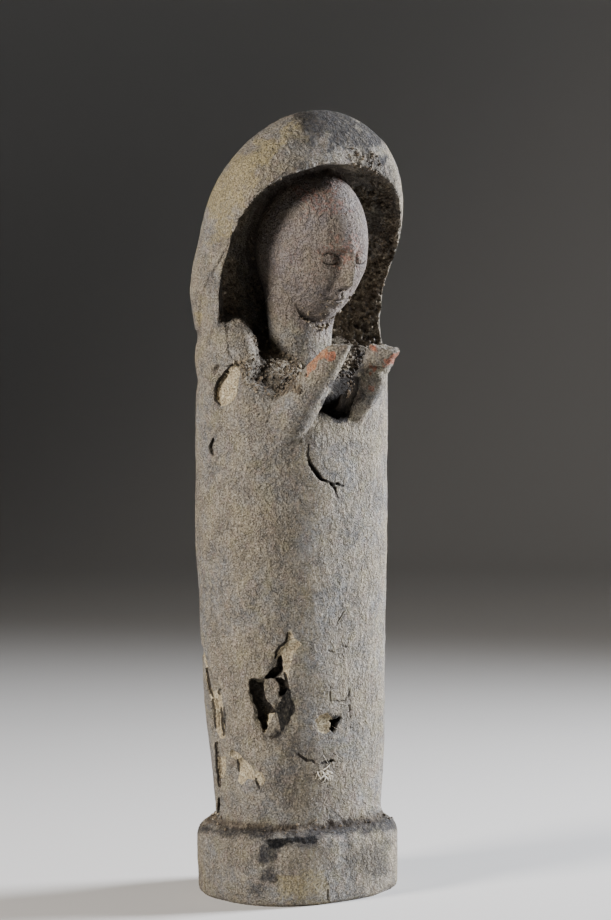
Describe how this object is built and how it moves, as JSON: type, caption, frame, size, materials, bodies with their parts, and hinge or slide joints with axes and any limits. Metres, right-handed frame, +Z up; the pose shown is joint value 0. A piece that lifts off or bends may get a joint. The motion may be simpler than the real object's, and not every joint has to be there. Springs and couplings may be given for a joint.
{
  "type": "veiled praying statuette",
  "caption": "Standing veiled figure in prayer on a low plinth, hand-modelled in one piece of dull clay, with broken-off hands and flaked skin; it stands by its own weight.",
  "frame": {"origin": "middle of the plinth's underside", "axes": "+Z up along the figure, the figure faces -Y, +X is the figure's left"},
  "size_m": [0.0608, 0.0605, 0.22],
  "materials": {
    "clay": "dry, matt, grey-brown hand-modelled clay with a sandy crust, soot stains, tan bare clay in the flaked places and traces of red paint"
  },
  "bodies": {
    "root": {"statuette": "clay"}
  },
  "joints": []
}
